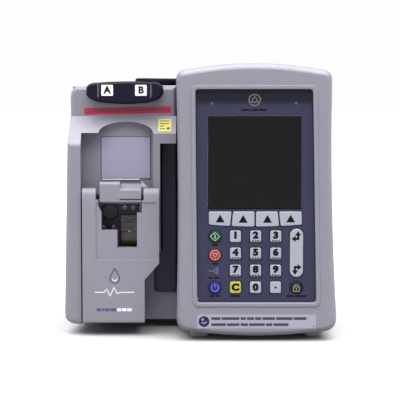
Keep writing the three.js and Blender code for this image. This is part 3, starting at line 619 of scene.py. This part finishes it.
labelLook = {"width": 87.5, "height": 10.4, "up": 11.9, "left": 0.25}
labelX = (caseLow.x + caseHigh.x) / 2 - labelLook["left"] * mm
labelZ = caseLow.z + labelLook["up"] * mm
bm = roundedPlate(labelLook["width"] * mm, labelLook["height"] * mm, 0.5 * mm)
addPrint(bm, "front_label", "paperLilac", facingFront(labelX, caseLow.y, labelZ), "pump",
         0.12)
onLabel = facingFront(labelX, caseLow.y - 0.11 * mm, labelZ)
bm = bmesh.new()
drawDisc(bm, -38.6, 0, 4.0)
addPrint(bm, "label_disc", "inkNavy", onLabel, "pump", 0.04)
bm = bmesh.new()
drawBar(bm, -40.4, -0.6, -38.6, -1.5, 0.8)
drawBar(bm, -38.6, -1.5, -36.6, -0.2, 0.8)
drawDisc(bm, -39.6, 1.5, 0.9)
addPrint(bm, "label_icon", "paperLilac", onLabel, "pump", 0.07)
bm = bmesh.new()
drawWords(bm, -33.3, 2.2, 2.0, [6.8, 13.2, 3.8, 5.2, 4.6, 9.2, 12.2, 9.4], 0.8)
drawWords(bm, -33.3, -2.3, 2.0, [10.8, 9.2, 5.4, 11.6, 4.8, 11.0], 0.8)
drawDisc(bm, 42.1, -3.6, 0.5)
addPrint(bm, "label_lines", "inkSlate", onLabel, "pump", 0.03)
print("display module printed")


# ---- mechanism module: labels, tags and marks ----

housingLow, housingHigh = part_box("mechanism_housing")
handleLow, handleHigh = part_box("door_handle")
barLow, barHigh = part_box("carry_handle")
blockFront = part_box("mechanism_chassis")[0].y - 3 * mm  # front of the upper block

stripLook = {"width": 66.1, "height": 5.1, "tilt": 1.2, "below": 18.4, "fromLeft": 47.1}
stripPlace = facingFront(housingLow.x + stripLook["fromLeft"] * mm, blockFront,
                         housingHigh.z - stripLook["below"] * mm)
stripPlace = stripPlace @ Matrix.Rotation(math.radians(stripLook["tilt"]), 4, "Z")
bm = roundedPlate(stripLook["width"] * mm, stripLook["height"] * mm, 0.4 * mm)
addPrint(bm, "clamp_reminder_strip", "paperPink", stripPlace, "pump", 0.12)
bm = bmesh.new()
drawShape(bm, [(-31.4, -1.6), (-28.0, -1.6), (-29.7, 1.6)])
drawWords(bm, -26.6, 0, 1.5, [9.0, 6.4, 3.4, 8.4, 7.4, 9.0, 5.4], 1.1)
addPrint(bm, "clamp_reminder_lines", "inkMaroon", stripPlace @ Matrix.Translation((0, 0, 0.11 * mm)),
         "pump", 0.03)

stickerLook = {"width": 9.8, "height": 12.6}
slopeMiddle = Vector((housingHigh.x - 8.6 * mm, blockFront - 6.9 * mm, housingHigh.z - 29.5 * mm))
stickerPlace = facingFront(*slopeMiddle, lean=45)
bm = roundedPlate(stickerLook["width"] * mm, stickerLook["height"] * mm, 0.4 * mm)
addPrint(bm, "yellow_sticker", "paperYellow", stickerPlace, "pump", 0.12)
bm = bmesh.new()
for row, words in enumerate(([7.4], [6.8], [3.4], [4.2])):
    drawWords(bm, -3.8, 4.4 - 2.7 * row, 1.0, words)
drawDisc(bm, 2.6, -3.4, 1.3)
addPrint(bm, "yellow_sticker_lines", "inkSlate", stickerPlace @ Matrix.Translation((0, 0, 0.11 * mm)),
         "pump", 0.03)

tagLook = {"width": 8.8, "height": 8.2, "letter": 7.2, "bold": 0.3}
tagZ = (barLow.z + barHigh.z) / 2 + 0.6 * mm
for letter, x in (("A", barLow.x + 15.9 * mm), ("B", barLow.x + 41.3 * mm)):
    place = facingFront(x, barLow.y, tagZ)
    bm = roundedPlate(tagLook["width"] * mm, tagLook["height"] * mm, 0.6 * mm)
    addPrint(bm, "tag_" + letter, "paperWhite", place, "pump", 0.15)
    bm = bmesh.new()
    drawText(bm, letter, tagLook["letter"], tagLook["bold"])
    addPrint(bm, "tag_letter_" + letter, "inkBlack", place @ Matrix.Translation((0, 0, 0.14 * mm)), "pump",
             0.04)
# where the bar's ends clip on
for side, x in (("left", barLow.x + 8.8 * mm), ("right", barLow.x + 48.4 * mm)):
    bm = bmesh.new()
    drawBar(bm, 0, -5.4, 0, 5.6, 0.35)
    drawBar(bm, 0.9, -4.2, 0.9, 4.2, 0.25)
    addPrint(bm, "bar_seam_" + side, "inkViolet", facingFront(x, barLow.y, tagZ - 0.4 * mm), "pump",
             0.05)

# a plain drop and bars stand where the real handle carries printed marks
markX = handleLow.x + 24.2 * mm
markPlace = facingFront(markX, handleLow.y, handleLow.z + 35.5 * mm)
bm = bmesh.new()
drawRing(bm, 0, -1.6, 3.6, 0.9, 150, 240)
drawBar(bm, -3.1, 0.3, 0, 6.2, 0.9)
drawBar(bm, 3.1, 0.3, 0, 6.2, 0.9)
addPrint(bm, "handle_drop", "inkPurple", markPlace, bodyOf["door_handle"])
bm = bmesh.new()
drawRing(bm, 0, -1.6, 1.7, 0.7, 180, 180)
drawPath(bm, [(-15, -12), (-8, -12), (-6, -9.4), (-3.6, -15), (-0.6, -8.2), (2, -13.4), (3.6, -12),
              (14.5, -12)], 0.8)
addPrint(bm, "handle_pulse_line", "inkWhite", markPlace, bodyOf["door_handle"])
bm = bmesh.new()
drawWords(bm, -13.6, -25.2, 2.2, [3.2, 1.6, 3.6, 4.2], 0.6)
addPrint(bm, "handle_dark_bars", "inkPurple", markPlace, bodyOf["door_handle"])
bm = bmesh.new()
drawWords(bm, 1.8, -25.2, 2.2, [3.0, 3.4, 3.2], 0.6)
addPrint(bm, "handle_pale_bars", "inkPaleGrey", markPlace, bodyOf["door_handle"])

# the small shapes round the door's drum and in the window
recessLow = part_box("recess_panel")[0]
paintedLipLook = {"width": 28.5, "height": 0.9, "depth": 1.3}


def smallBox(name, low, high, mat, body, soft=0.15):
    bm = bmesh.new()
    bmesh.ops.create_cube(bm, size=1)
    bmesh.ops.scale(bm, vec=high - low, verts=bm.verts)
    bmesh.ops.translate(bm, vec=(low + high) / 2, verts=bm.verts)
    bevelEdges(bm, bm.edges[:], soft * mm, 2)
    return addPiece(bm, name, mat, body)


recessBack = recessLow.y + 0.8 * mm
# painted highlight: recess_lip_painted_highlight is a pale grey box whose colour stands for the lit top edge
# of the ledge at the back of the recess
paintedLipLow = Vector((recessLow.x + 0.6 * mm, recessBack - paintedLipLook["depth"] * mm, recessLow.z - 1.1 * mm))
smallBox("recess_lip_painted_highlight", paintedLipLow, paintedLipLow + Vector((paintedLipLook["width"], paintedLipLook["depth"],
                                                paintedLipLook["height"])) * mm,
         ink["inkPaleGrey"], "pump")
# painted shade: a dark strip set in the gap at the handle's left edge, where shade falls between the wall and
# the handle
gapShadeLow = Vector((handleLow.x - 1.2 * mm, recessBack - 1.6 * mm, handleLow.z + 10 * mm))
smallBox("door_gap_painted_shade", gapShadeLow, Vector((handleLow.x + 1.4 * mm, gapShadeLow.y + 0.4 * mm,
                                       handleHigh.z - 1.5 * mm)),
         ink["inkDusk"], "pump", 0.05)

wedgeLook = {"width": 4.5, "height": 4.3, "lean": 5.2, "back": 11}
wedgeFoot = Vector((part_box("cassette_door")[1].x - 5.8 * mm, handleLow.y + 8 * mm, handleHigh.z + 0.5 * mm))
bm = bmesh.new()
front = [bm.verts.new(wedgeFoot + Vector(p) * mm) for p in (
    (0, 0, 0), (wedgeLook["width"], 0, 0), (0, wedgeLook["lean"], wedgeLook["height"]))]
bm.faces.new(front)
pushed = bmesh.ops.extrude_face_region(bm, geom=bm.faces[:], use_keep_orig=True)["geom"]
for v in pushed:
    if isinstance(v, bmesh.types.BMVert):
        v.co.y = wedgeFoot.y + wedgeLook["back"] * mm
bmesh.ops.recalc_face_normals(bm, faces=bm.faces)
addPiece(bm, "door_gusset", slotMaterial["case_plastic"], bodyOf["cassette_door"])

for node in ("inlet_valve_pin", "outlet_valve_pin", "line_a_valve_pin", "line_b_valve_pin"):
    tip = Vector((middle(node).x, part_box(node)[0].y, middle(node).z))
    bm = bmesh.new()
    drawDisc(bm, 0, 0, 1.5)
    addPrint(bm, node + "_cap", "inkDusk", facingFront(*tip), bodyOf[node])
    # painted highlight: a small pale disc on each pin's tip
    bm = bmesh.new()
    drawDisc(bm, -0.3, 0.4, 0.45)
    addPrint(bm, node + "_painted_glint", "inkPaleGrey", facingFront(tip.x, tip.y - 0.05 * mm, tip.z), bodyOf[node],
             0.03)
sensorLow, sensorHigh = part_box("air_sensor")
sensorMiddle = (sensorLow + sensorHigh) / 2
bm = bmesh.new()
drawBar(bm, -3.4, 2.2, 3.4, 2.2, 0.3)
drawBar(bm, -2.2, 6.6, 2.4, 6.6, 0.9)
addPrint(bm, "sensor_line", "inkSlate", facingFront(sensorMiddle.x, sensorLow.y, sensorMiddle.z), "pump")
bm = bmesh.new()
drawDisc(bm, 0.2, -0.6, 0.7)
addPrint(bm, "sensor_dot", "inkPaleGrey", facingFront(sensorMiddle.x, sensorLow.y, sensorMiddle.z), "pump")
print("mechanism module printed")


# ---- back, sides and underside: screws, vents, plates and symbols ----

rearLow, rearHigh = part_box("rear_housing")
hatchLow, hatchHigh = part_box("battery_door")
inletLow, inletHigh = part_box("power_inlet")
screwLook = {"radius": 3.0, "height": 0.7, "slot": 0.9, "well": 4.0}


def facingLeft(x, y, z):
    return (Matrix.Translation((x, y, z)) @ Matrix.Rotation(-math.pi / 2, 4, "Z")
            @ Matrix.Rotation(math.pi / 2, 4, "X"))


def facingRight(x, y, z):
    return (Matrix.Translation((x, y, z)) @ Matrix.Rotation(math.pi / 2, 4, "Z")
            @ Matrix.Rotation(math.pi / 2, 4, "X"))


def facingDown(x, y, z):
    return Matrix.Translation((x, y, z)) @ Matrix.Rotation(math.pi, 4, "X")


def addScrew(name, place, body="pump"):  # a crosshead screw on a dark disc, painted shade standing for a shallow well round the head
    bm = bmesh.new()
    drawDisc(bm, 0, 0, screwLook["well"])
    addPrint(bm, name + "_well_painted_shade", "inkSlate", place, body, 0.08)
    bm = bmesh.new()
    bmesh.ops.create_cone(bm, cap_ends=True, segments=28, radius1=screwLook["radius"] * mm,
                          radius2=screwLook["radius"] * 0.86 * mm, depth=screwLook["height"] * mm,
                          matrix=place @ Matrix.Translation((0, 0, screwLook["height"] / 2 * mm)))
    addPiece(bm, name + "_head", slotMaterial["steel"], body)
    bm = bmesh.new()
    drawBar(bm, -1.7, 0, 1.7, 0, screwLook["slot"])
    raiseDrawing(bm, 0.04)
    crossed = bmesh.ops.duplicate(bm, geom=bm.verts[:] + bm.edges[:] + bm.faces[:])["geom"]
    turned = [v for v in crossed if isinstance(v, bmesh.types.BMVert)]
    bmesh.ops.rotate(bm, verts=turned, cent=(0, 0, 0), matrix=Matrix.Rotation(math.pi / 2, 3, "Z"))
    bmesh.ops.translate(bm, vec=(0, 0, 0.015 * mm), verts=turned)
    bmesh.ops.transform(bm, matrix=place @ Matrix.Translation((0, 0, screwLook["height"] * mm)),
                        verts=bm.verts)
    addPiece(bm, name + "_cross", ink["inkBlack"], body)


def addSlots(name, place, count, pitch, length, width, body="pump"):
    bm = bmesh.new()
    for n in range(count):  # a row of round-ended vent slots, printed black as painted shade in place of openings
        y = (n - (count - 1) / 2) * pitch
        drawBar(bm, -length / 2, y, length / 2, y, width)
        drawDisc(bm, -length / 2, y, width / 2)
        drawDisc(bm, length / 2, y, width / 2)
    addPrint(bm, name, "inkBlack", place, body, 0.03)


backY = rearHigh.y
for n, (x, z) in enumerate(((-86, 56), (-86, 172), (86, 172), (90, 82), (-40, 18), (16, 18)), 1):
    addScrew("rear_screw_%d" % n, facingBack(x * mm, backY, z * mm))
addSlots("rear_vents_left", facingBack(-0.060, backY, 0.081), 7, 4.4, 44, 1.7)
addSlots("rear_vents_right", facingBack(0.074, backY, 0.101), 7, 4.4, 22, 1.7)
addSlots("left_vents", facingLeft(rearLow.x, 0.005, 0.118), 8, 4.4, 40, 1.7)
addSlots("right_vents", facingRight(rearHigh.x, 0.012, 0.060), 8, 4.4, 34, 1.7)

plateLook = {"width": 50, "height": 28}
platePlace = facingBack(0.058, backY, 0.147)
bm = roundedPlate(plateLook["width"] * mm, plateLook["height"] * mm, 1.2 * mm)
addPrint(bm, "rating_plate", "paperLilac", platePlace, "pump", 0.15)
bm = bmesh.new()
for row, words in enumerate(([9, 6, 11], [5, 12, 7, 4], [11, 4, 9], [7, 8], [4, 10, 5])):
    drawWords(bm, -22.5, 10.4 - 4.1 * row, 1.1, words)
for n, wide in enumerate((0.8, 0.4, 1.1, 0.5, 0.4, 0.9, 0.4, 1.2, 0.5, 0.8, 0.4)):
    x = 7 + 1.45 * n
    drawBar(bm, x, -11.4, x, -3.4, wide)
drawLoop(bm, [(13, 4.6), (18.4, 4.6), (18.4, 10.2), (13, 10.2)], 0.4)
drawLoop(bm, [(14.4, 6), (17, 6), (17, 8.8), (14.4, 8.8)], 0.35)
addPrint(bm, "rating_plate_lines", "inkSlate", platePlace @ Matrix.Translation((0, 0, 0.14 * mm)), "pump",
         0.03)

hatchMiddle = (hatchLow + hatchHigh) / 2
hatchPlace = facingBack(hatchMiddle.x, hatchHigh.y, hatchMiddle.z)
bm = roundedPlate(18 * mm, 5 * mm, 2.2 * mm)
bmesh.ops.translate(bm, vec=(0, 19.5 * mm, 0), verts=bm.verts)
addPrint(bm, "hatch_grip", "inkSlate", hatchPlace, "pump", 0.04)
bm = bmesh.new()
drawLoop(bm, [(-9, -5), (9, -5), (9, 5), (-9, 5)], 0.8)
drawBar(bm, 10.3, -2, 10.3, 2, 1.4)
drawBar(bm, -6, 0, -2, 0, 0.8)
drawBar(bm, -4, -2, -4, 2, 0.8)
drawBar(bm, 2, 0, 6, 0, 0.8)
addPrint(bm, "hatch_battery_symbol", "inkSlate", hatchPlace, "pump", 0.04)
for side, x in (("left", hatchLow.x + 5 * mm), ("right", hatchHigh.x - 5 * mm)):
    addScrew("hatch_screw_" + side, facingBack(x, hatchHigh.y, hatchLow.z + 6 * mm))

inletMiddle = (inletLow + inletHigh) / 2
bm = bmesh.new()
drawPath(bm, [(-9, 0), (-5, 0)], 0.6)
drawRing(bm, -3, 0, 2, 0.6, 0, 180)
drawRing(bm, 1, 0, 2, 0.6, 180, 180)
drawPath(bm, [(3, 0), (7, 0)], 0.6)
addPrint(bm, "inlet_symbol", "inkSlate", facingBack(inletMiddle.x, backY, inletHigh.z + 5.5 * mm), "pump",
         0.04)
for side, x in (("left", inletLow.x - 3.8 * mm), ("right", inletHigh.x + 5 * mm)):
    addScrew("inlet_screw_" + side, facingBack(x, backY, inletMiddle.z))

portLook = {"width": 24, "height": 10, "wall": 1.2}
portPlace = facingBack(-0.014, backY, 0.050)
bm = roundedPlate(portLook["width"] * mm, portLook["height"] * mm, 2.5 * mm)
raisedFrame(bm, portLook["wall"] * mm, 1.2 * mm, 0.3 * mm)
bmesh.ops.transform(bm, matrix=portPlace, verts=bm.verts)
addPiece(bm, "data_port_shell", slotMaterial["steel"], "pump")
bm = roundedPlate((portLook["width"] - 2.8) * mm, (portLook["height"] - 2.8) * mm, 1.6 * mm)
addPrint(bm, "data_port_insert", "inkBlack", portPlace, "pump", 0.5)
bm = bmesh.new()
for n in range(9):
    drawDisc(bm, (n % 5 - 2) * 3.4 if n < 5 else (n - 6.5) * 3.4, 1.4 if n < 5 else -1.4, 0.5)
addPrint(bm, "data_port_pins", "emblemSilver", portPlace @ Matrix.Translation((0, 0, 0.49 * mm)), "pump",
         0.2)

knobLow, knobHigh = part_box("volume_knob")
knobMiddle = (knobLow + knobHigh) / 2
bm = bmesh.new()
for n in range(11):  # a scale round the volume knob, through its 270 degrees
    turn = math.radians(225 - 27 * n)
    reach = 12.2 if n in (0, 10) else 11.2
    drawBar(bm, 9.8 * math.cos(turn), 9.8 * math.sin(turn), reach * math.cos(turn), reach * math.sin(turn),
            0.6)
drawShape(bm, [(-16.5, -13.6), (-14.9, -13.6), (-13.0, -15.6), (-13.0, -9.6), (-14.9, -11.6),
               (-16.5, -11.6)])
drawRing(bm, -13.0, -12.6, 2.4, 0.5, -50, 100)
addPrint(bm, "volume_scale", "inkSlate", facingBack(knobMiddle.x, backY, knobMiddle.z), "pump",
         0.04)
bm = bmesh.new()
drawBar(bm, 0, 2.2, 0, 7.0, 0.9)
addPrint(bm, "volume_index", "inkWhite", facingBack(knobMiddle.x, knobHigh.y, knobMiddle.z),
         bodyOf["volume_knob"], 0.05)

clampLow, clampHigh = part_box("clamp_frame")
gripLow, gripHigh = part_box("clamp_knob")
gripMiddle = (gripLow + gripHigh) / 2
for level, z in (("low", clampLow.z + 7 * mm), ("high", clampHigh.z - 7 * mm)):
    addScrew("clamp_bolt_" + level, facingBack(clampLow.x + 26 * mm, backY + 8 * mm, z), "pump")
bm = bmesh.new()
drawDisc(bm, 0, 0, 7.4)
addPrint(bm, "grip_cap", "inkSlate", facingLeft(gripLow.x, gripMiddle.y, gripMiddle.z),
         bodyOf["clamp_knob"], 0.3)
bm = bmesh.new()
drawArrow(bm, -4.6, 0, 0, 3.6, 0.7, 1.6)
drawRing(bm, 0, 0, 5.2, 0.6, 200, 140)
addPrint(bm, "grip_symbol", "inkPale", facingLeft(gripLow.x - 0.29 * mm, gripMiddle.y, gripMiddle.z),
         bodyOf["clamp_knob"], 0.04)

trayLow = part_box("base_tray")[0]
for n, (x, y) in enumerate(((-60, -22), (60, -22), (-54, 40), (50, 40)), 1):
    addScrew("tray_screw_%d" % n, facingDown(x * mm, y * mm, trayLow.z), "pump")
bm = roundedPlate(44 * mm, 20 * mm, 1 * mm)
addPrint(bm, "serial_plate", "paperLilac", facingDown(0, 0.008, trayLow.z), "pump", 0.12)
bm = bmesh.new()
for row, words in enumerate(([10, 7, 12], [6, 12, 8], [14, 5])):
    drawWords(bm, -18.5, 5 - 5 * row, 1.3, words)
addPrint(bm, "serial_plate_lines", "inkSlate", facingDown(0, 0.008, trayLow.z - 0.11 * mm), "pump",
         0.03)
print("back, sides and underside finished")


# ---- stage, light and camera ----

stageLook = {"floorSize": 30.0, "floorColor": (0.27, 0.27, 0.275)}
lightLook = {
    "worldColor": (0.985, 0.985, 1.0), "worldStrength": 1.0, "skyPower": 14.0, "skySpread": 95,
    "skyTilt": -11,
    "leftBox": {"place": (-1.5, -0.1, 0.5), "size": (1.2, 1.2), "power": 5},
    "rightBox": {"place": (1.5, -0.1, 0.5), "size": (1.2, 1.2), "power": 6},
}
cameraLook = {"tilt": 4.5, "distance": 1.0, "lens": 123.3, "aimHeight": 0.1046}


def makeFloor():
    bm = bmesh.new()
    bmesh.ops.create_grid(bm, x_segments=1, y_segments=1, size=stageLook["floorSize"] / 2)
    mesh = bpy.data.meshes.new("floor")
    bm.to_mesh(mesh)
    bm.free()
    mesh.materials.append(grainedMaterial("floorPaper", {"color": stageLook["floorColor"], "rough": 0.9,
                                                         "drift": 0.01, "grain": 60, "bump": 0.02}))
    floor = bpy.data.objects.new("floor", mesh)
    scene.collection.objects.link(floor)


def softBox(name, look, aim):
    data = bpy.data.lights.new(name, "AREA")
    data.shape = "RECTANGLE"
    data.size, data.size_y = look["size"]
    data.energy = look["power"]
    lamp = bpy.data.objects.new(name, data)
    lamp.location = look["place"]
    lamp.rotation_euler = (aim - lamp.location).to_track_quat("-Z", "Y").to_euler()
    scene.collection.objects.link(lamp)


def makeLight():
    world = bpy.data.worlds.new("studio")
    scene.world = world
    world.use_nodes = True
    background = world.node_tree.nodes["Background"]
    background.inputs["Color"].default_value = (*lightLook["worldColor"], 1)
    background.inputs["Strength"].default_value = lightLook["worldStrength"]
    ceiling = bpy.data.lights.new("ceiling", "SUN")  # a wide soft light straight above
    ceiling.energy = lightLook["skyPower"]
    ceiling.angle = math.radians(lightLook["skySpread"])
    lamp = bpy.data.objects.new("ceiling", ceiling)
    lamp.rotation_euler = (-math.radians(lightLook["skyTilt"]), 0, 0)
    scene.collection.objects.link(lamp)
    aim = (cadBox[0] + cadBox[1]) / 2
    for name in ("leftBox", "rightBox"):
        softBox(name, lightLook[name], aim)


def makeCamera():
    data = bpy.data.cameras.new("camera")
    data.lens = cameraLook["lens"]
    data.sensor_width = 36
    camera = bpy.data.objects.new("camera", data)
    tilt = math.radians(cameraLook["tilt"])
    back = cameraLook["distance"]
    camera.location = (0.0006, caseLow.y - back * math.cos(tilt),
                       cameraLook["aimHeight"] + back * math.sin(tilt))
    camera.rotation_euler = (math.radians(90) - tilt, 0, 0)
    scene.collection.objects.link(camera)
    scene.camera = camera


makeFloor()
makeLight()
makeCamera()
scene.view_settings.view_transform = "Standard"
print("stage, light and camera made")
